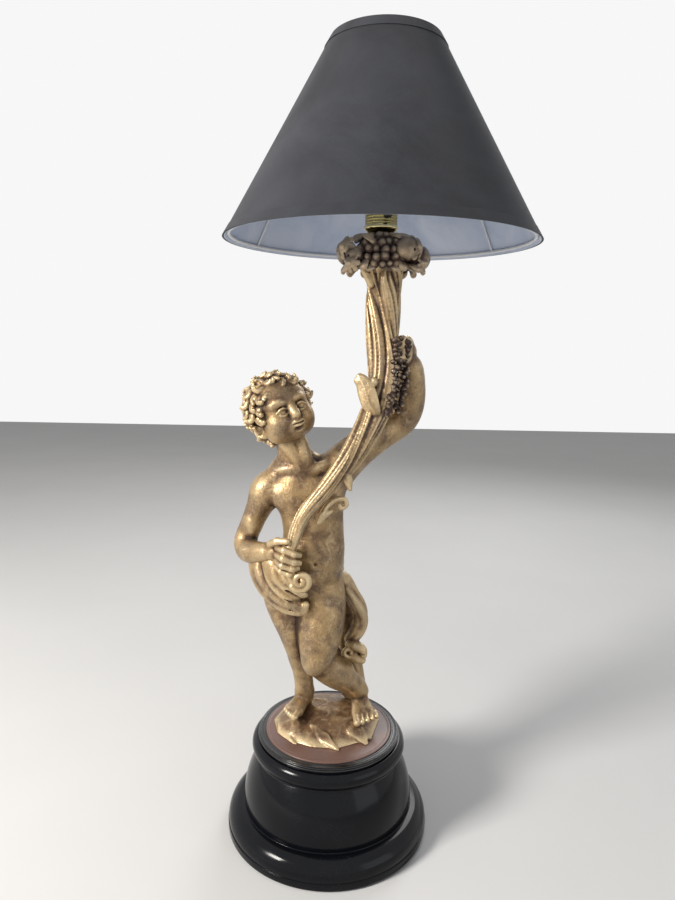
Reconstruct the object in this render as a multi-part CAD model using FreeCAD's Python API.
"""Figural table lamp: a gilt carved child on a black turned socle lifts a horn of plenty, and a
lampholder stands in the fruit of the horn under a conical fabric shade.

Millimetres, +Z up, +X to the viewer's right, +Y away from the viewer.  The origin is the centre
of the underside.  The figure, the horn and the lampholder stack follow the deck of the socle, and
the shade follows the lampholder.
"""
import FreeCAD, Part
import math
import os
from FreeCAD import Vector

# ---------------------------------------------------------------- socle
FELT_T = 2.0              # felt under the socle
FELT_INSET = 6.0          # felt edge in from the plinth edge
PLINTH_R = 127.3          # widest radius of the socle
PLINTH_H = 8.5            # straight plinth band
OVOLO_H = 22.5            # rounded moulding above the plinth
OVOLO_R_TOP = 113.0       # where the moulding turns in
DOME_R = 107.0            # foot of the convex socle body
DOME_R_TOP = 89.0         # top of the convex socle body
DOME_H = 63.0             # height of the convex socle body
DOME_SWELL = 5.0          # how far the body's side bulges outside a straight cone
STEP_H = 3.0              # quirk between moulding and body
COLLAR_R = 92.0           # foot and head of the collar tier
COLLAR_BEAD = 4.8         # how far the collar's wide bead stands out
COLLAR_H = 29.0           # collar tier, to the top of its lip
COLLAR_WALL_H = 22.0      # the part of the tier that the bead covers
LIP_R = 88.0              # small bead round the deck
LIP_BEAD = 1.4            # how far that small bead stands out
DECK_R = 79.5             # satin disc that the ground stands on
DECK_T = 6.0              # its thickness
DECK_PROUD = 1.5          # disc top above the lip
DECK_GAP = 0.3            # round gap between disc and lip
CAVITY_R = 70.0           # hollow under the socle body
CAVITY_H = 66.0           # its height
SPIGOT_R = 30.0           # collar spigot in the socle body
SPIGOT_H = 8.0            # its length
CABLE_WAY_R = 5.0         # drilled way for the flex

# ---------------------------------------------------------------- inlet and base screws
INLET_Z = 20.0            # height of the rear flex inlet
INLET_BORE_R = 3.5        # bore of the inlet bush
INLET_WALL = 1.5          # wall of the bush
INLET_FLANGE_R = 8.0      # rim of the bush
INLET_FLANGE_T = 4.0      # thickness of that rim
INLET_REACH = 126.0       # outer face of the bush from the socle axis
INLET_L = 24.0            # length of the bush
SCREW_R = 2.5             # wood screw shank
SCREW_HEAD_R = 5.0        # wood screw head
SCREW_HEAD_T = 3.5        # its thickness
SCREW_BITE = 13.0         # thread length in the ground block
SCREW_CIRCLE_R = 35.0     # screws stand on this circle
SCREW_COUNT = 3
SCREW_CLEAR = 0.3         # radial clearance of the screw holes
WASHER_R = 8.0            # washer under each head
WASHER_T = 1.5

# ---------------------------------------------------------------- lampholder stack
AXIS_X = 48.9             # lampholder and shade axis, right of the socle axis
CROWN_SEAT_H = 598.5      # top of the fruit core above the deck
TUBE_R = 5.0              # threaded tube
TUBE_BORE_R = 3.5         # its bore
TUBE_IN_HORN = 75.0       # tube length below the top of the fruit core
TUBE_IN_NECK = 9.0        # tube length in the lampholder neck
NUT_ACROSS = 16.0         # hexagon nut, across flats
NUT_T = 4.0
NECK_R = 8.0              # lampholder neck
NECK_H = 7.0
CAP_R = 18.5              # lampholder cap
CAP_H = 29.0
CAP_WALL = 1.2
CAP_BEAD_R = 1.1          # bright bead round the foot of the cap, as it stands out
CAP_BEAD_H = 6.0
BARREL_R = 13.2           # lampholder barrel
BARREL_WALL = 1.8
BARREL_H = 28.0
BARREL_FLANGE_T = 2.5
CORE_GAP = 0.2            # insulator to shell
CORE_UP = 8.0             # insulator height inside the barrel
SWITCH_R = 4.0            # push bar
SWITCH_H = 15.5           # its axis above the foot of the cap
SWITCH_OUT = 9.0          # how far the bar stands out in front
SWITCH_TRAVEL = 6.5       # how far it pushes through
SWITCH_TURN = 16.0        # bar direction, degrees from the viewer's line
SWITCH_CLEAR = 0.08       # radial clearance of the bar in its bores
CONTACT_R = 2.0           # spring contact pins
CONTACT_SPREAD = 5.5      # each pin from the axis
CONTACT_REACH = 4.0       # pin length above the insulator
SPRING_WALL = 0.8         # contact spring, as a sleeve
SPRING_L = 6.0
TERMINAL_R = 1.6          # terminal screws
TERMINAL_L = 6.0
TERMINAL_SPREAD = 11.0

# ---------------------------------------------------------------- bulb
BULB_CAP_R = 11.0         # bayonet cap
BULB_CAP_H = 24.0
BULB_PIN_R = 1.0          # bayonet pins
BULB_PIN_UP = 8.0         # pin height above the cap's contact face
BULB_PIN_OUT = 2.0        # pin length outside the cap
BULB_TURN = 17.0          # turn that frees the pins, degrees
PIN_CLEAR = 0.3           # slot to pin
CONTACT_GAP = 0.1         # contact pins to bulb cap
BULB_R = 30.0             # glass envelope
BULB_GLASS_H = 82.0
BULB_NECK_R = 12.5
GLASS_T = 1.0

# ---------------------------------------------------------------- shade carrier and shade
CARRIER_T = 2.0           # carrier plates
CARRIER_WIDE = 10.0
CARRIER_WIRE_R = 1.7      # carrier uprights
CARRIER_CLEAR = 6.0       # uprights to bulb glass
CARRIER_RISE = 33.0       # top plate above the bulb glass
RING_T = 8.0              # threaded clamp ring
RING_R = 18.0
STUD_R = 3.0              # threaded stud under the finial
STUD_H = 14.0
STUD_CLEAR = 0.06         # stud to hub and finial
SEAT_GAP = 0.1            # turning faces
HUB_R = 9.0
HUB_T = 2.5
FINIAL_R = 6.0
FINIAL_H = 15.0
SHADE_R_TOP = 61.9        # outside of the shade at the top
SHADE_R_BOTTOM = 178.7    # outside of the shade at the bottom
SHADE_H = 212.5
SHADE_OVER_HUB = 17.5     # shade top above the top of the hub
TRIM_T = 0.8              # rolled edge bands
TRIM_H = 11.0
COVER_T = 1.0             # dark outer fabric on its backing
LINER_T = 0.6             # pale inner lining
GLUE_T = 0.12             # glue line between fabric layers
RING_WIRE_R = 1.8         # top and bottom frame rings
STRUT_R = 1.3             # frame struts
STRUT_COUNT = 6
FRAME_GAP = 0.3           # frame wires to lining
SPIDER_ARMS = 3
SPIDER_WIRE_R = 1.5

# ---------------------------------------------------------------- figure
ROCK_H = 22.0             # carved ground, above the deck
ROCK_WIDE = 142.0         # across, left to right
ROCK_DEEP = 122.0         # across, front to back
LIMB_FLESH = 1.0          # one factor on every limb thickness
HORN_FLESH = 1.0          # one factor on every horn thickness
HEAD_WIDE = 86.0          # head with its curls
HEAD_TALL = 92.0
GRAPE_R = 7.0
BERRY_R = 5.5
BERRY_COUNT = 5           # beads on the garland
PEACH_R = 15.5
DOWEL_R = 3.0             # hidden dowels between carved sections
DOWEL_L = 22.0
POLE_R = 0.4              # small flat where a turned dome meets its axis

# ---------------------------------------------------------------- heights worked out
PLINTH_TOP = FELT_T + PLINTH_H
OVOLO_TOP = PLINTH_TOP + OVOLO_H
DOME_FOOT = OVOLO_TOP + STEP_H
DOME_TOP = DOME_FOOT + DOME_H
LIP_TOP = DOME_TOP + COLLAR_H
DECK_TOP = LIP_TOP + DECK_PROUD
DECK_UNDER = DECK_TOP - DECK_T
CAVITY_TOP = FELT_T + CAVITY_H
CROWN_TOP = DECK_TOP + CROWN_SEAT_H
NECK_FOOT = CROWN_TOP + NUT_T
CAP_FOOT = NECK_FOOT + NECK_H
CAP_TOP = CAP_FOOT + CAP_H
FLANGE_TOP = CAP_TOP + BARREL_FLANGE_T
BARREL_TOP = CAP_TOP + BARREL_H
BARREL_BORE_R = BARREL_R - BARREL_WALL
CORE_TOP = CAP_TOP + CORE_UP
CONTACT_TOP = CORE_TOP + CONTACT_REACH
BULB_FOOT = CONTACT_TOP + CONTACT_GAP
PIN_Z = BULB_FOOT + BULB_PIN_UP
GLASS_FOOT = BULB_FOOT + BULB_CAP_H
GLASS_TOP = GLASS_FOOT + BULB_GLASS_H
CARRIER_FOOT = FLANGE_TOP
CARRIER_TOP = GLASS_TOP + CARRIER_RISE
UPRIGHT_X = BULB_R + CARRIER_CLEAR + CARRIER_WIRE_R
HUB_FOOT = CARRIER_TOP + SEAT_GAP
HUB_TOP = HUB_FOOT + HUB_T
FINIAL_FOOT = HUB_TOP + SEAT_GAP
SHADE_TOP = HUB_TOP + SHADE_OVER_HUB
SHADE_BOTTOM = SHADE_TOP - SHADE_H
SHADE_SLOPE = math.atan2(SHADE_R_BOTTOM - SHADE_R_TOP, SHADE_H)

UP = Vector(0, 0, 1)
SIDE = Vector(1, 0, 0)
BACK = Vector(0, 1, 0)
ORIGIN = Vector(0, 0, 0)
AXIS = Vector(AXIS_X, 0, 0)

nodes = {}


# ---------------------------------------------------------------- small shape helpers
def rod(radius, length, foot, way=UP):
    """Round rod from its foot along way."""
    return Part.makeCylinder(radius, length, foot, way)


def pipe(outer, inner, length, foot, way=UP):
    """Round tube from its foot along way."""
    core = rod(inner, length, foot, way)
    return rod(outer, length, foot, way).cut(core)


def turned(edges, centre=ORIGIN):
    """Solid of revolution about the vertical through centre; edges lie in the XZ plane."""
    face = Part.Face(Part.Wire(edges))
    solid = face.revolve(ORIGIN, UP, 360)
    solid.translate(centre)
    return solid


def line(a, b):
    """Straight edge between two (radius, height) points."""
    return Part.makeLine(Vector(a[0], 0, a[1]), Vector(b[0], 0, b[1]))


def bow(a, via, b):
    """Arc through three (radius, height) points."""
    points = [Vector(p[0], 0, p[1]) for p in (a, via, b)]
    return Part.Arc(*points).toShape()


def polygon(points):
    """Closed run of straight edges through (radius, height) points."""
    loop = points + points[:1]
    return [line(a, b) for a, b in zip(loop, loop[1:])]


def biggest(shape):
    """The largest solid of a cut shape, without the crumbs."""
    return max(shape.Solids, key=lambda solid: solid.Volume)


def carve(shape, *others):
    """Shape with its neighbours taken away, so that the two meet face to face."""
    for other in others:
        if shape.BoundBox.intersect(other.BoundBox):
            shape = shape.cut(other)
    return biggest(shape)


def joined(shapes):
    """One solid out of overlapping ones."""
    first = shapes[0]
    whole = first.fuse(shapes[1:]) if len(shapes) > 1 else first
    return biggest(whole.removeSplitter())


def at(x, y, height):
    """Point of the figure: height is measured above the deck."""
    return Vector(x, y, DECK_TOP + height)


def oval(centre, way, side, wide, deep, count=10):
    """Closed smooth section round centre, square to way; wide lies along side."""
    way = Vector(way)
    way.normalize()
    across = side - way * side.dot(way)
    across.normalize()
    over = way.cross(across)
    points = []
    for step in range(count):
        angle = 2 * math.pi * step / count
        points.append(centre + across * (wide * math.cos(angle)) + over * (deep * math.sin(angle)))
    curve = Part.BSplineCurve()
    curve.interpolate(Points=points, PeriodicFlag=True)
    return Part.Wire([curve.toShape()])


END_STEPS = ((0.75, 0.50), (0.35, 0.90))   # rounding of a limb's end: reach, size


def limb(stations, side=BACK, first_round=1.0, last_round=1.0):
    """Rounded limb through stations of (point, wide, deep)."""
    points = [station[0] for station in stations]
    last = len(points) - 1
    ways = []
    for index in range(len(points)):
        way = points[min(index + 1, last)] - points[max(index - 1, 0)]
        way.normalize()
        ways.append(way)
    sections = []
    _, wide, deep = stations[0]
    for reach, size in END_STEPS:
        centre = points[0] - ways[0] * (min(wide, deep) * reach * first_round)
        sections.append(oval(centre, ways[0], side, wide * size, deep * size))
    for (point, wide, deep), way in zip(stations, ways):
        sections.append(oval(point, way, side, wide, deep))
    _, wide, deep = stations[-1]
    for reach, size in reversed(END_STEPS):
        centre = points[-1] + ways[-1] * (min(wide, deep) * reach * last_round)
        sections.append(oval(centre, ways[-1], side, wide * size, deep * size))
    solid = Part.makeLoft(sections, True, False)
    if solid.Volume < 0:
        solid.reverse()
    return solid


def flesh(rows, factor=LIMB_FLESH):
    """Stations from (x, y, height, wide, deep) rows of the figure."""
    return [(at(x, y, height), wide * factor, deep * factor) for x, y, height, wide, deep in rows]


def ball(centre, radius):
    """Solid ball."""
    return Part.makeSphere(radius, centre)


# ---------------------------------------------------------------- socle
def felt_pad():
    """Felt disc that the lamp rests on."""
    return rod(PLINTH_R - FELT_INSET, FELT_T, ORIGIN)


def screw_places():
    """Places of the base screws round the socle axis."""
    places = []
    for index in range(SCREW_COUNT):
        angle = math.radians(90 + 360 * index / SCREW_COUNT)
        places.append(Vector(SCREW_CIRCLE_R * math.cos(angle), SCREW_CIRCLE_R * math.sin(angle), 0))
    return places


def drilled(shape, foot, top):
    """Shape with the flex way and the screw holes drilled from foot to top."""
    shape = shape.cut(rod(CABLE_WAY_R, top - foot, Vector(0, 0, foot)))
    for place in screw_places():
        shape = shape.cut(rod(SCREW_R + SCREW_CLEAR, top - foot, place + UP * foot))
    return shape


def socle_base():
    """Turned black body: plinth, rounded moulding, convex body, hollow below."""
    middle = (DOME_R + DOME_R_TOP) / 2 + DOME_SWELL
    swell = PLINTH_R - (PLINTH_R - OVOLO_R_TOP) * 0.25
    edges = [
        line((CAVITY_R, FELT_T), (PLINTH_R, FELT_T)),
        line((PLINTH_R, FELT_T), (PLINTH_R, PLINTH_TOP)),
        line((PLINTH_R, PLINTH_TOP), (PLINTH_R - 1, PLINTH_TOP)),
        bow((PLINTH_R - 1, PLINTH_TOP), (swell, PLINTH_TOP + OVOLO_H * 0.62), (OVOLO_R_TOP, OVOLO_TOP)),
        line((OVOLO_R_TOP, OVOLO_TOP), (DOME_R, OVOLO_TOP)),
        line((DOME_R, OVOLO_TOP), (DOME_R, DOME_FOOT)),
        bow((DOME_R, DOME_FOOT), (middle, DOME_FOOT + DOME_H / 2), (DOME_R_TOP, DOME_TOP)),
        line((DOME_R_TOP, DOME_TOP), (SPIGOT_R, DOME_TOP)),
        line((SPIGOT_R, DOME_TOP), (SPIGOT_R, DOME_TOP - SPIGOT_H)),
        line((SPIGOT_R, DOME_TOP - SPIGOT_H), (0, DOME_TOP - SPIGOT_H)),
        line((0, DOME_TOP - SPIGOT_H), (0, CAVITY_TOP)),
        line((0, CAVITY_TOP), (CAVITY_R, CAVITY_TOP)),
        line((CAVITY_R, CAVITY_TOP), (CAVITY_R, FELT_T)),
    ]
    body = drilled(turned(edges), CAVITY_TOP, DOME_TOP)
    bush_r = INLET_BORE_R + INLET_WALL
    body = body.cut(rod(bush_r, PLINTH_R, Vector(0, 0, INLET_Z), BACK))
    rim_foot = Vector(0, INLET_REACH - INLET_FLANGE_T, INLET_Z)
    return body.cut(rod(INLET_FLANGE_R, PLINTH_R, rim_foot, BACK))


def inlet_bush():
    """Bush that guides the flex through the back of the socle."""
    bush_r = INLET_BORE_R + INLET_WALL
    foot = Vector(0, INLET_REACH - INLET_L, INLET_Z)
    rim_foot = Vector(0, INLET_REACH - INLET_FLANGE_T, INLET_Z)
    bush = rod(bush_r, INLET_L, foot, BACK).fuse(rod(INLET_FLANGE_R, INLET_FLANGE_T, rim_foot, BACK))
    return biggest(bush.cut(rod(INLET_BORE_R, INLET_L, foot, BACK)).removeSplitter())


def socle_collar():
    """Upper tier with its wide bead, a small lip bead and the recess for the deck."""
    wall_top = DOME_TOP + COLLAR_WALL_H
    bead_foot = DOME_TOP + 2.5
    bead_mid = (bead_foot + wall_top) / 2
    lip_foot = wall_top + 2.0
    recess_r = DECK_R + DECK_GAP
    edges = [
        line((0, DOME_TOP - SPIGOT_H), (SPIGOT_R, DOME_TOP - SPIGOT_H)),
        line((SPIGOT_R, DOME_TOP - SPIGOT_H), (SPIGOT_R, DOME_TOP)),
        line((SPIGOT_R, DOME_TOP), (COLLAR_R, DOME_TOP)),
        line((COLLAR_R, DOME_TOP), (COLLAR_R, bead_foot)),
        bow((COLLAR_R, bead_foot), (COLLAR_R + COLLAR_BEAD, bead_mid), (COLLAR_R - 1, wall_top)),
        line((COLLAR_R - 1, wall_top), (LIP_R - 1, wall_top)),
        line((LIP_R - 1, wall_top), (LIP_R - 1, lip_foot)),
        bow((LIP_R - 1, lip_foot), (LIP_R + LIP_BEAD, (lip_foot + LIP_TOP) / 2), (LIP_R - 1, LIP_TOP)),
        line((LIP_R - 1, LIP_TOP), (recess_r, LIP_TOP)),
        line((recess_r, LIP_TOP), (recess_r, DECK_UNDER)),
        line((recess_r, DECK_UNDER), (0, DECK_UNDER)),
        line((0, DECK_UNDER), (0, DOME_TOP - SPIGOT_H)),
    ]
    return drilled(turned(edges), DOME_TOP - SPIGOT_H, DECK_UNDER)


def deck_disc():
    """Satin disc let into the collar."""
    return drilled(rod(DECK_R, DECK_T, Vector(0, 0, DECK_UNDER)), DECK_UNDER, DECK_TOP)


def fixing_washers():
    """Washers under the base screws."""
    foot = CAVITY_TOP - WASHER_T
    rings = [pipe(WASHER_R, SCREW_R + SCREW_CLEAR, WASHER_T, place + UP * foot) for place in screw_places()]
    return Part.makeCompound(rings)


def fixing_screws():
    """Wood screws from the hollow up into the carved ground."""
    head_top = CAVITY_TOP - WASHER_T
    length = DECK_TOP + SCREW_BITE - head_top
    screws = []
    for place in screw_places():
        shank = rod(SCREW_R, length, place + UP * head_top)
        head = rod(SCREW_HEAD_R, SCREW_HEAD_T, place + UP * (head_top - SCREW_HEAD_T))
        screws.append(biggest(shank.fuse(head).removeSplitter()))
    return Part.makeCompound(screws)


# ---------------------------------------------------------------- carved figure
def ground_rock():
    """Low rocky ground with a raised knob at each foot."""
    rows = ((0.0, 1.00, -2, 5), (0.38, 1.00, -2, 5), (0.72, 0.90, -3, 6), (1.0, 0.72, -4, 8))
    sections = []
    for rise, share, x, y in rows:
        centre = at(x, y, ROCK_H * rise)
        sections.append(oval(centre, UP, SIDE, ROCK_WIDE / 2 * share, ROCK_DEEP / 2 * share, 16))
    rock = Part.makeLoft(sections, True, False)
    rock = rock.cut(rod(CABLE_WAY_R, ROCK_H * 0.5, at(0, 0, 0)))
    for place in screw_places():
        rock = rock.cut(rod(SCREW_R, SCREW_BITE, place + UP * DECK_TOP))
    return biggest(rock)


def trunk():
    """Hips, waist, chest and neck; leans a little to the viewer's left going up."""
    rows = (
        (-34, 4, 172, 43, 29),
        (-30, 3, 200, 43, 31),
        (-24, 0, 235, 39, 29),
        (-23, 0, 258, 37, 27),
        (-26, 1, 281, 39, 28),
        (-30, 3, 302, 45, 28),
        (-32, 5, 320, 42, 24),
        (-37, 5, 336, 25, 18),
        (-43, 4, 350, 16, 15),
        (-50, 2, 364, 15, 15),
    )
    return limb(flesh(rows), SIDE, 0.5, 0.5)


def standing_leg():
    """Leg at the viewer's left, with its foot flat on the ground."""
    rows = (
        (-58, 8, 178, 23, 25),
        (-57, 4, 155, 21, 23),
        (-53, -3, 132, 16, 17),
        (-50, 0, 112, 14, 16),
        (-46, 4, 88, 12, 14),
        (-41, 5, 62, 9, 10),
        (-39, 5, 44, 8.5, 9),
        (-39, 4, 36, 8.5, 9),
    )
    foot = (
        (-38, 9, 32, 10, 9),
        (-41, -3, 30, 11, 8),
        (-45, -13, 27, 12, 6.5),
        (-49, -21, 25, 11, 5),
    )
    return joined([limb(flesh(rows), SIDE), limb(flesh(foot), SIDE)])


def bent_leg():
    """Leg at the viewer's right: thigh forward, shin running back to the right."""
    rows = (
        (-13, 0, 178, 25, 27),
        (-11, -12, 150, 25, 26),
        (-12, -22, 126, 22, 23),
        (-12, -26, 108, 18, 19),
        (-2, -22, 92, 15, 16),
        (15, -8, 74, 13, 14),
        (30, 8, 55, 10, 10),
        (38, 14, 42, 9, 9),
    )
    foot = (
        (39, 16, 32, 9, 9),
        (42, 2, 28, 11, 8),
        (45, -12, 22, 12, 6),
    )
    return joined([limb(flesh(rows), SIDE), limb(flesh(foot), SIDE)])


def child_head():
    """Head with its curls, leaning to the viewer's left and looking up a little."""
    centre = at(-64, 0, 405)
    way = Vector(-0.40, 0.05, 0.90)
    way.normalize()
    rows = ((-0.38, 0.55), (-0.24, 0.84), (-0.05, 0.99), (0.14, 0.98), (0.28, 0.83), (0.37, 0.58))
    stations = []
    for along, share in rows:
        point = centre + way * (HEAD_TALL * along)
        stations.append((point, HEAD_WIDE / 2 * share, HEAD_WIDE / 2 * share))
    return limb(stations, SIDE, 0.5, 0.5)


def hanging_arm():
    """Arm at the viewer's left, hand on the hip round the tail of the horn."""
    rows = (
        (-72, 6, 312, 17, 17),
        (-82, 6, 300, 15, 16),
        (-93, 9, 276, 11, 12),
        (-103, 13, 252, 10, 11),
        (-108, 12, 238, 10, 10),
        (-102, 0, 230, 10, 10),
        (-86, -18, 234, 9, 9),
        (-70, -34, 240, 8, 8),
        (-60, -43, 243, 11, 10),
    )
    return limb(flesh(rows), UP)


def raised_arm():
    """Arm at the viewer's right, bent up behind the horn, hand on the horn."""
    rows = (
        (-4, 9, 322, 22, 22),
        (18, 14, 345, 20, 20),
        (45, 24, 366, 18, 18),
        (68, 33, 380, 17, 17),
        (84, 36, 392, 17, 17),
        (92, 33, 412, 16, 16),
        (93, 28, 438, 14, 14),
        (91, 22, 462, 11, 11),
        (84, 13, 476, 12, 11),
    )
    return limb(flesh(rows), UP)


def horn_body():
    """Horn of plenty, from the lower hand up to its mouth on the lampholder axis."""
    rows = (
        (-49, -50, 246, 6.5, 6.5),
        (-34, -49, 286, 8, 8),
        (-6, -46, 322, 10.5, 10.5),
        (22, -36, 360, 14.5, 14.5),
        (AXIS_X - 3, -17, 404, 18, 18),
        (AXIS_X + 6, -6, 442, 18, 18),
        (AXIS_X + 7, -1, 487, 18, 18),
        (AXIS_X + 5, 0, 533, 19.5, 19.5),
        (AXIS_X + 2, 0, CROWN_SEAT_H - 40, 22, 22),
    )
    return limb(flesh(rows, HORN_FLESH), BACK, 0.5, 0.5)


def horn_tail():
    """Thin end of the horn, rolled up below the hand."""
    rows = (
        (-49, -50, 244, 6.5, 6.5),
        (-50, -51, 230, 6.5, 6.5),
        (-45, -50, 218, 6, 6),
    )
    volute = rod(10.0 * HORN_FLESH, 12.0, at(-37, -54, 214), BACK)
    return joined([limb(flesh(rows, HORN_FLESH), SIDE, 0.5, 0.5), volute])


LEAF_SHAPE = ((0.0, 0.45), (0.35, 1.0), (0.7, 0.8), (1.0, 0.2))   # along the leaf, share of its width


def leaf(root, tip, wide, thick, side=SIDE):
    """Pointed leaf from its root to its tip, wide across side."""
    way = tip - root
    sections = []
    for along, share in LEAF_SHAPE:
        sections.append(oval(root + way * along, way, side, wide * share, thick * math.sqrt(share), 8))
    return Part.makeLoft(sections, True, False)


def horn_leaves():
    """Leaves that lift off the horn: one at the left of the bend, a curl lower down."""
    upper = leaf(at(38, -26, 408), at(29, -17, 438), 10, 4)
    lower = leaf(at(6, -46, 322), at(13, -42, 300), 6, 3.5)
    return [upper, lower]


def berry_garland():
    """String of berries between the horn and the raised forearm, as a beaded rod."""
    first = at(77, 6, 474)
    last = at(78, 14, 418)
    stations = []
    for index in range(2 * BERRY_COUNT - 1):
        place = first + (last - first) * (index / (2 * BERRY_COUNT - 2))
        radius = BERRY_R * (0.7 if index % 2 else 1.1)
        stations.append((place, radius, radius))
    return limb(stations, BACK)


def crown_core():
    """Carved heap that closes the mouth of the horn and carries the lampholder."""
    top = CROWN_SEAT_H
    rows = ((-46, 20), (-32, 30), (-18, 38), (-7, 34), (0, 20))
    sections = []
    for drop, radius in rows:
        sections.append(oval(at(AXIS_X + 3, 0, top + drop), UP, SIDE, radius * HORN_FLESH, radius * HORN_FLESH))
    return Part.makeLoft(sections, True, False)


def spread(count, radius, height, start, end, centre_x=AXIS_X + 3):
    """Places on an arc round the crown; angles in degrees, 270 faces the viewer."""
    places = []
    for index in range(count):
        angle = math.radians(start + (end - start) * index / max(count - 1, 1))
        x = centre_x + radius * math.cos(angle)
        places.append(at(x, radius * math.sin(angle), CROWN_SEAT_H + height))
    return places


def grapes():
    """Bunch of grapes over the front of the horn's mouth."""
    balls = []
    for height, count, radius in ((-10, 5, 33), (-20, 6, 36), (-30, 4, 33), (-39, 3, 28)):
        half = 5.5 * count
        balls += [ball(place, GRAPE_R) for place in spread(count, radius, height, 262 - half, 262 + half)]
    return joined(balls)


def large_fruits():
    """Larger round fruits at the right and the back, and a leafy cluster at the left."""
    right = [ball(place, PEACH_R) for place in spread(3, 40, -16, 300, 400)]
    back = [ball(place, PEACH_R * 0.9) for place in spread(3, 35, -17, 60, 130)]
    left = [ball(place, PEACH_R * 0.8) for place in spread(3, 42, -14, 165, 225)]
    return right, back, left


def crown_leaves():
    """Leaves that hang out below the fruit at both sides and behind."""
    leaves = []
    top = CROWN_SEAT_H
    for turn, reach in ((200, 40), (245, 34), (318, 38), (60, 36), (120, 36)):
        angle = math.radians(turn)
        out = Vector(math.cos(angle), math.sin(angle), 0)
        root = at(AXIS_X + 3, 0, top - 26) + out * (reach - 10)
        tip = at(AXIS_X + 3, 0, top - 46) + out * reach
        leaves.append(leaf(root, tip, 10, 4, out.cross(UP)))
    return leaves


def waist_drapery():
    """Cloth round the hips: a band behind, folds crossing low in front to a rolled end."""
    band_rows = (
        (-37, 8, 172, 47, 31),
        (-34, 7, 196, 48, 33),
        (-31, 5, 214, 46, 32),
    )
    fold_rows = (
        (-88, -6, 224, 7, 14),
        (-78, -16, 208, 12, 15),
        (-60, -28, 190, 13, 15),
        (-42, -36, 175, 10, 11),
    )
    band = limb(flesh(band_rows), SIDE, 0.5, 0.5)
    front = limb(flesh(fold_rows), BACK)
    return band, front


def rear_drapery():
    """Cloth that falls behind the bent leg down to the ground and steadies the figure."""
    rows = (
        (8, 26, 178, 14, 14),
        (20, 24, 160, 15, 15),
        (31, 20, 134, 15, 15),
        (29, 16, 112, 12, 13),
        (28, 18, 92, 13, 14),
        (32, 24, 70, 15, 15),
        (38, 28, 45, 17, 15),
        (42, 28, 22, 17, 16),
    )
    scroll = rod(8.0, 22.0, at(36, -2, 88), BACK)
    return joined([limb(flesh(rows), SIDE, 1.0, 0.4), scroll])


def dowel(foot, way):
    """Hidden dowel, half in each of two carved sections."""
    way = Vector(way)
    way.normalize()
    return rod(DOWEL_R, DOWEL_L, foot - way * (DOWEL_L / 2), way)


def figure():
    """All the carved sections and their dowels, cut so that neighbours meet face to face."""
    rock = ground_rock()
    body = carve(trunk())
    leg_left = carve(standing_leg(), rock, body)
    leg_right = carve(bent_leg(), rock, body, leg_left)
    horn = carve(horn_body(), body)
    head = carve(child_head(), body, horn)
    arm_left = carve(hanging_arm(), body, horn)
    arm_right = carve(raised_arm(), body, horn, head)
    tail = carve(horn_tail(), horn, body, arm_left, leg_right)
    band, folds = waist_drapery()
    band = carve(band, body, leg_left, leg_right, arm_left, horn, tail)
    folds = carve(folds, band, body, leg_left, leg_right, arm_left, horn, tail)
    rear = carve(rear_drapery(), rock, body, leg_left, leg_right, band, folds)
    core = carve(crown_core(), horn)
    garland = carve(berry_garland(), horn, arm_right)
    fruit_groups = large_fruits()
    bunch = carve(grapes(), core, horn)
    fruits = []
    for group in fruit_groups:
        for fruit in group:
            fruits.append(carve(fruit, core, horn, bunch, *fruits))
    leaves = [carve(one, horn, arm_right, core, arm_left, body) for one in horn_leaves()]
    sprays = []
    for one in crown_leaves():
        sprays.append(carve(one, core, horn, bunch, *fruits, *sprays))
    dowels = [
        dowel(at(-40, 2, 20), UP),
        dowel(at(40, 12, 20), UP),
        dowel(at(-53, 2, 370), Vector(-0.40, 0.05, 0.90)),
        dowel(at(12, 13, 340), Vector(0.7, 0.2, 0.6)),
    ]
    parts = {
        "ground_rock": rock,
        "torso": body,
        "standing_leg": leg_left,
        "bent_leg": leg_right,
        "head": head,
        "hanging_arm": arm_left,
        "raised_arm": arm_right,
        "horn_body": horn,
        "horn_tail": tail,
        "waist_drapery": Part.makeCompound([band, folds]),
        "rear_drapery": rear,
        "crown_core": core,
        "berry_garland": garland,
        "grapes": bunch,
    }
    pairs = (("ground_rock", "standing_leg"), ("ground_rock", "bent_leg"), ("torso", "head"), ("torso", "raised_arm"))
    for pin, pair in zip(dowels, pairs):
        for name in pair:
            parts[name] = carve(parts[name], pin)
    tube_foot = Vector(AXIS_X, 0, CROWN_TOP - TUBE_IN_HORN)
    tube_hole = rod(TUBE_R, TUBE_IN_HORN + 1, tube_foot)
    parts["horn_body"] = biggest(parts["horn_body"].cut(tube_hole))
    parts["crown_core"] = biggest(parts["crown_core"].cut(tube_hole))
    nodes.update(parts)
    nodes["large_fruits"] = Part.makeCompound(fruits)
    nodes["horn_leaves"] = Part.makeCompound(leaves)
    nodes["crown_leaves"] = Part.makeCompound(sprays)
    nodes["section_dowels"] = Part.makeCompound(dowels)


# ---------------------------------------------------------------- lampholder
def on_axis(height):
    """Point on the lampholder axis."""
    return Vector(AXIS_X, 0, height)


def threaded_tube():
    """Tube that holds the lampholder on the horn and leads the flex."""
    length = TUBE_IN_HORN + NUT_T + TUBE_IN_NECK
    return pipe(TUBE_R, TUBE_BORE_R, length, on_axis(CROWN_TOP - TUBE_IN_HORN))


def tube_nut():
    """Hexagon nut on the tube."""
    corner = NUT_ACROSS / math.sqrt(3)
    points = []
    for index in range(7):
        angle = math.radians(60 * index + 30)
        points.append(on_axis(CROWN_TOP) + Vector(corner * math.cos(angle), corner * math.sin(angle), 0))
    face = Part.Face(Part.makePolygon(points))
    return face.extrude(UP * NUT_T).cut(rod(TUBE_R, NUT_T, on_axis(CROWN_TOP)))


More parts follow.
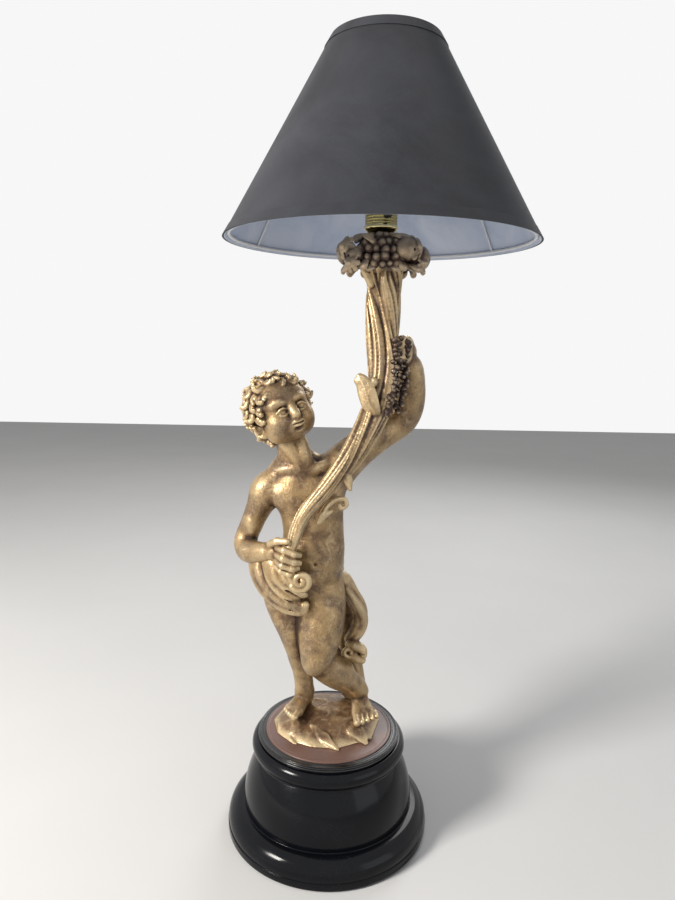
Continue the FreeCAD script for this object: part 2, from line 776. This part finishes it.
def switch_line():
    """Direction from the front end of the push bar to its back end."""
    turn = math.radians(SWITCH_TURN)
    return Vector(-math.sin(turn), math.cos(turn), 0)


def switch_bore(clear):
    """Long rod along the push bar, with clearance."""
    way = switch_line()
    foot = on_axis(CAP_FOOT + SWITCH_H) - way * (2 * CAP_R)
    return rod(SWITCH_R + clear, 4 * CAP_R, foot, way)


def switch_bar():
    """Push bar through the cap, with rounded ends."""
    way = switch_line()
    front = CAP_R + SWITCH_OUT
    back = CAP_R + SWITCH_OUT - SWITCH_TRAVEL
    middle = on_axis(CAP_FOOT + SWITCH_H)
    bar = rod(SWITCH_R, front + back, middle - way * front, way)
    ends = [edge for edge in bar.Edges if edge.Closed and edge.Length > 1]
    return bar.makeFillet(SWITCH_R * 0.35, ends)


def lampholder_cap():
    """Lower shell: neck on the tube, bright bead, wall with the bores of the push bar."""
    edges = polygon([
        (TUBE_R, NECK_FOOT), (NECK_R, NECK_FOOT), (NECK_R, CAP_FOOT), (CAP_R - 2, CAP_FOOT),
        (CAP_R, CAP_FOOT + 2), (CAP_R, CAP_TOP), (CAP_R - CAP_WALL, CAP_TOP),
        (CAP_R - CAP_WALL, CAP_FOOT + 2), (TUBE_R, CAP_FOOT + 2),
    ])
    shell = turned(edges, AXIS)
    bead_foot = CAP_FOOT + 0.5
    bead_top = bead_foot + CAP_BEAD_H
    bead = turned([
        line((CAP_R - 0.5, bead_foot), (CAP_R, bead_foot)),
        bow((CAP_R, bead_foot), (CAP_R + CAP_BEAD_R, (bead_foot + bead_top) / 2), (CAP_R, bead_top)),
        line((CAP_R, bead_top), (CAP_R - 0.5, bead_top)),
        line((CAP_R - 0.5, bead_top), (CAP_R - 0.5, bead_foot)),
    ], AXIS)
    bead = bead.cut(turned(polygon([
        (0, CAP_FOOT), (CAP_R - 2, CAP_FOOT), (CAP_R, CAP_FOOT + 2), (CAP_R, CAP_FOOT + 9), (0, CAP_FOOT + 9),
    ]), AXIS))
    shell = joined([shell, biggest(bead)])
    return biggest(shell.cut(switch_bore(SWITCH_CLEAR)))


def contact_places():
    """Places of the two spring contacts."""
    return [on_axis(0) + SIDE * (sign * CONTACT_SPREAD) for sign in (-1, 1)]


def terminal_places():
    """Places of the two terminal screws."""
    return [on_axis(0) + BACK * (sign * TERMINAL_SPREAD) for sign in (-1, 1)]


def lampholder_core():
    """Insulating body with the wells of the contacts and the way of the push bar."""
    foot = CAP_FOOT + 2 + CORE_GAP
    wide = rod(CAP_R - CAP_WALL - CORE_GAP, CAP_TOP - foot, on_axis(foot))
    narrow = rod(BARREL_BORE_R - CORE_GAP, CORE_UP, on_axis(CAP_TOP))
    core = wide.fuse(narrow).removeSplitter()
    core = core.cut(rod(TUBE_R + CORE_GAP, TUBE_IN_NECK + CORE_GAP - NECK_H + 1, on_axis(foot)))
    core = core.cut(switch_bore(SWITCH_CLEAR))
    well_foot = CORE_TOP - SPRING_L - CONTACT_R
    for place in contact_places():
        core = core.cut(rod(CONTACT_R + SPRING_WALL, CORE_TOP - well_foot, place + UP * well_foot))
    for place in terminal_places():
        core = core.cut(rod(TERMINAL_R, TERMINAL_L, place + UP * (CAP_TOP - TERMINAL_L)))
    return biggest(core)


def contact_pins():
    """Spring contacts, held down by the bulb cap."""
    foot = CORE_TOP - SPRING_L - CONTACT_R
    return Part.makeCompound([rod(CONTACT_R, CONTACT_TOP - foot, place + UP * foot) for place in contact_places()])


def contact_springs():
    """Springs of the contacts, each as a closed sleeve."""
    foot = CORE_TOP - SPRING_L - CONTACT_R
    sleeves = []
    for place in contact_places():
        sleeves.append(pipe(CONTACT_R + SPRING_WALL, CONTACT_R, SPRING_L, place + UP * foot))
    return Part.makeCompound(sleeves)


def terminal_screws():
    """Terminal screws in the insulator."""
    foot = CAP_TOP - TERMINAL_L
    return Part.makeCompound([rod(TERMINAL_R, TERMINAL_L - 0.2, place + UP * foot) for place in terminal_places()])


def sector(radius, foot, height, start, end):
    """Pie-shaped solid about the lampholder axis, from start to end in degrees."""
    slab = Part.makeCylinder(radius, height, on_axis(foot), UP, end - start)
    slab.rotate(on_axis(foot), UP, start)
    return slab


def lampholder_barrel():
    """Upper barrel with its flange and the two bayonet slots."""
    foot = on_axis(CAP_TOP)
    barrel = rod(BARREL_R, BARREL_H, foot).fuse(rod(CAP_R, BARREL_FLANGE_T, foot))
    barrel = barrel.cut(rod(BARREL_BORE_R, BARREL_H, foot)).removeSplitter()
    slot = BULB_PIN_R + PIN_CLEAR
    margin = math.degrees(math.asin(slot / BARREL_BORE_R))
    reach = BARREL_R + 1
    for side in (0, 180):
        barrel = barrel.cut(sector(reach, PIN_Z - slot, 2 * slot, side - margin, side + BULB_TURN + margin))
        entry_height = BARREL_TOP - PIN_Z + slot
        entry = sector(reach, PIN_Z - slot, entry_height, side + BULB_TURN - margin, side + BULB_TURN + margin)
        barrel = barrel.cut(entry)
    return biggest(barrel)


def clamp_ring():
    """Threaded ring that clamps the shade carrier on the barrel."""
    return pipe(RING_R, BARREL_R, RING_T, on_axis(CARRIER_FOOT + CARRIER_T))


# ---------------------------------------------------------------- bulb
def bulb_cap():
    """Bayonet cap with its two pins."""
    cap = rod(BULB_CAP_R, BULB_CAP_H, on_axis(BULB_FOOT))
    reach = BULB_CAP_R + BULB_PIN_OUT
    pin = rod(BULB_PIN_R, 2 * reach, on_axis(PIN_Z) - SIDE * reach, SIDE)
    return biggest(cap.fuse(pin).removeSplitter())


def bulb_profile(inset):
    """Half outline of the glass, inset from its outside."""
    rows = ((0.0, 0.0), (0.10, 0.05), (0.30, 0.52), (0.46, 0.89), (0.61, 1.0))
    points = []
    for rise, share in rows:
        radius = BULB_NECK_R + (BULB_R - BULB_NECK_R) * share - inset
        points.append(Vector(radius, 0, BULB_GLASS_H * rise))
    crown_z = BULB_GLASS_H * rows[-1][0]
    curve = Part.BSplineCurve()
    curve.interpolate(Points=points, InitialTangent=Vector(0, 0, 1), FinalTangent=Vector(0, 0, 1))
    side = curve.toShape()
    top = BULB_GLASS_H - inset
    bend = math.radians(45)
    wide = BULB_R - inset
    tall = top - crown_z
    via = (wide * math.cos(bend), crown_z + tall * math.sin(bend))
    dome = bow((wide, crown_z), via, (POLE_R, top))
    flat = line((POLE_R, top), (0, top))
    neck = BULB_NECK_R - inset
    return [side, dome, flat, line((0, top), (0, 0)), line((0, 0), (neck, 0))]


def bulb_glass():
    """Glass envelope, thin and hollow."""
    outer = turned(bulb_profile(0.0))
    inner = turned(bulb_profile(GLASS_T))
    glass = biggest(outer.cut(inner))
    glass.translate(on_axis(GLASS_FOOT))
    return glass


# ---------------------------------------------------------------- carrier and finial
def carrier_base():
    """Plate with a ring round the barrel and an ear under each upright."""
    length = 2 * (UPRIGHT_X + CARRIER_WIRE_R)
    corner = on_axis(CARRIER_FOOT) - Vector(length / 2, CARRIER_WIDE / 2, 0)
    plate = Part.makeBox(length, CARRIER_WIDE, CARRIER_T, corner)
    disc = rod(RING_R, CARRIER_T, on_axis(CARRIER_FOOT))
    plate = plate.fuse(disc).removeSplitter()
    return biggest(plate.cut(rod(BARREL_R, CARRIER_T, on_axis(CARRIER_FOOT))))


def carrier_uprights():
    """Two wires that pass the bulb."""
    foot = CARRIER_FOOT + CARRIER_T
    height = CARRIER_TOP - CARRIER_T - foot
    wires = [rod(CARRIER_WIRE_R, height, on_axis(foot) + SIDE * (sign * UPRIGHT_X)) for sign in (-1, 1)]
    return Part.makeCompound(wires)


def carrier_top():
    """Top plate with the stud for the shade and the finial."""
    length = 2 * (UPRIGHT_X + CARRIER_WIRE_R)
    corner = on_axis(CARRIER_TOP - CARRIER_T) - Vector(length / 2, CARRIER_WIDE / 2, 0)
    plate = Part.makeBox(length, CARRIER_WIDE, CARRIER_T, corner)
    stud = rod(STUD_R, STUD_H + CARRIER_T, on_axis(CARRIER_TOP - CARRIER_T))
    return biggest(plate.fuse(stud).removeSplitter())


def finial():
    """Small turned knob that holds the shade down."""
    waist = FINIAL_R * 0.55
    edges = [
        line((0, 0), (FINIAL_R, 0)),
        line((FINIAL_R, 0), (FINIAL_R, 2)),
        bow((FINIAL_R, 2), (waist, 4), (FINIAL_R * 0.8, 6.5)),
        bow((FINIAL_R * 0.8, 6.5), (FINIAL_R * 0.8, FINIAL_H * 0.78), (POLE_R, FINIAL_H)),
        line((POLE_R, FINIAL_H), (0, FINIAL_H)),
        line((0, FINIAL_H), (0, 0)),
    ]
    knob = turned(edges, on_axis(FINIAL_FOOT))
    depth = CARRIER_TOP + STUD_H + SEAT_GAP - FINIAL_FOOT
    return biggest(knob.cut(rod(STUD_R + STUD_CLEAR, depth, on_axis(FINIAL_FOOT))))


# ---------------------------------------------------------------- shade
def shade_radius(height):
    """Outside radius of the shade's cover at a height."""
    share = (height - SHADE_BOTTOM) / SHADE_H
    return SHADE_R_BOTTOM + (SHADE_R_TOP - SHADE_R_BOTTOM) * share - TRIM_T / math.cos(SHADE_SLOPE)


def cone_layer(foot, top, outside, inside):
    """Conical layer between two depths below the cover's outside, square to the surface."""
    out = outside / math.cos(SHADE_SLOPE)
    back = inside / math.cos(SHADE_SLOPE)
    return turned(polygon([
        (shade_radius(foot) - back, foot), (shade_radius(foot) - out, foot),
        (shade_radius(top) - out, top), (shade_radius(top) - back, top),
    ]), AXIS)


def frame_offset(wire_r):
    """Depth of a frame wire's axis below the cover's outside."""
    return (COVER_T + GLUE_T + LINER_T + FRAME_GAP + wire_r) / math.cos(SHADE_SLOPE)


def frame_ring(height):
    """Round frame wire inside the lining."""
    radius = shade_radius(height) - frame_offset(RING_WIRE_R)
    return Part.makeTorus(radius, RING_WIRE_R, on_axis(height), UP)


def ring_heights():
    """Heights of the bottom and the top frame ring."""
    return SHADE_BOTTOM + 2 * RING_WIRE_R, SHADE_TOP - 2 * RING_WIRE_R


def shade_struts():
    """Straight frame wires that stand between the two rings and touch both."""
    low, high = ring_heights()
    struts = []
    for index in range(STRUT_COUNT):
        angle = math.radians(30 + 360 * index / STRUT_COUNT)
        out = Vector(math.cos(angle), math.sin(angle), 0)
        foot = on_axis(low) + out * (shade_radius(low) - frame_offset(STRUT_R))
        top = on_axis(high) + out * (shade_radius(high) - frame_offset(STRUT_R))
        length = foot.distanceToPoint(top) - 2 * RING_WIRE_R
        way = (top - foot).normalize()
        struts.append(rod(STRUT_R, length, foot + way * RING_WIRE_R, way))
    return Part.makeCompound(struts)


def spider_arms():
    """Wires from the hub to the top ring."""
    low, high = ring_heights()
    hub_mid = (HUB_FOOT + HUB_TOP) / 2
    arms = []
    for index in range(SPIDER_ARMS):
        angle = math.radians(90 + 360 * index / SPIDER_ARMS)
        out = Vector(math.cos(angle), math.sin(angle), 0)
        start = on_axis(hub_mid) + out * (HUB_R - 2)
        end = on_axis(high) + out * (shade_radius(high) - frame_offset(RING_WIRE_R))
        wire = rod(SPIDER_WIRE_R, start.distanceToPoint(end), start, end - start)
        arms.append(carve(wire, nodes["shade_hub"], nodes["shade_top_ring"]))
    return Part.makeCompound(arms)


def shade():
    """Cover, lining, edge bands, frame and hub: they turn together on the stud."""
    lining_face = COVER_T + GLUE_T
    low, high = ring_heights()
    nodes["shade_cover"] = cone_layer(SHADE_BOTTOM, SHADE_TOP, 0, COVER_T)
    nodes["shade_liner"] = cone_layer(SHADE_BOTTOM, SHADE_TOP, lining_face, lining_face + LINER_T)
    nodes["shade_bottom_trim"] = cone_layer(SHADE_BOTTOM, SHADE_BOTTOM + TRIM_H, -TRIM_T, -GLUE_T)
    nodes["shade_top_trim"] = cone_layer(SHADE_TOP - TRIM_H, SHADE_TOP, -TRIM_T, -GLUE_T)
    nodes["shade_bottom_ring"] = frame_ring(low)
    nodes["shade_top_ring"] = frame_ring(high)
    nodes["shade_hub"] = pipe(HUB_R, STUD_R + STUD_CLEAR, HUB_T, on_axis(HUB_FOOT))
    nodes["shade_struts"] = shade_struts()
    nodes["spider_arms"] = spider_arms()


def main():
    """Build every node and write one file for each."""
    os.makedirs("parts", exist_ok=True)
    for maker in (felt_pad, socle_base, inlet_bush, socle_collar, deck_disc, fixing_washers, fixing_screws):
        nodes[maker.__name__] = maker()
    figure()
    for maker in (threaded_tube, tube_nut, lampholder_cap, lampholder_core, contact_pins, contact_springs,
                  terminal_screws, lampholder_barrel, clamp_ring, switch_bar, bulb_cap, bulb_glass,
                  carrier_base, carrier_uprights, carrier_top, finial):
        nodes[maker.__name__] = maker()
    shade()
    for name, shape in nodes.items():
        shape.exportStep("parts/" + name + ".step")
        print(name, len(shape.Solids), round(shape.Volume, 1), shape.isValid())


main()
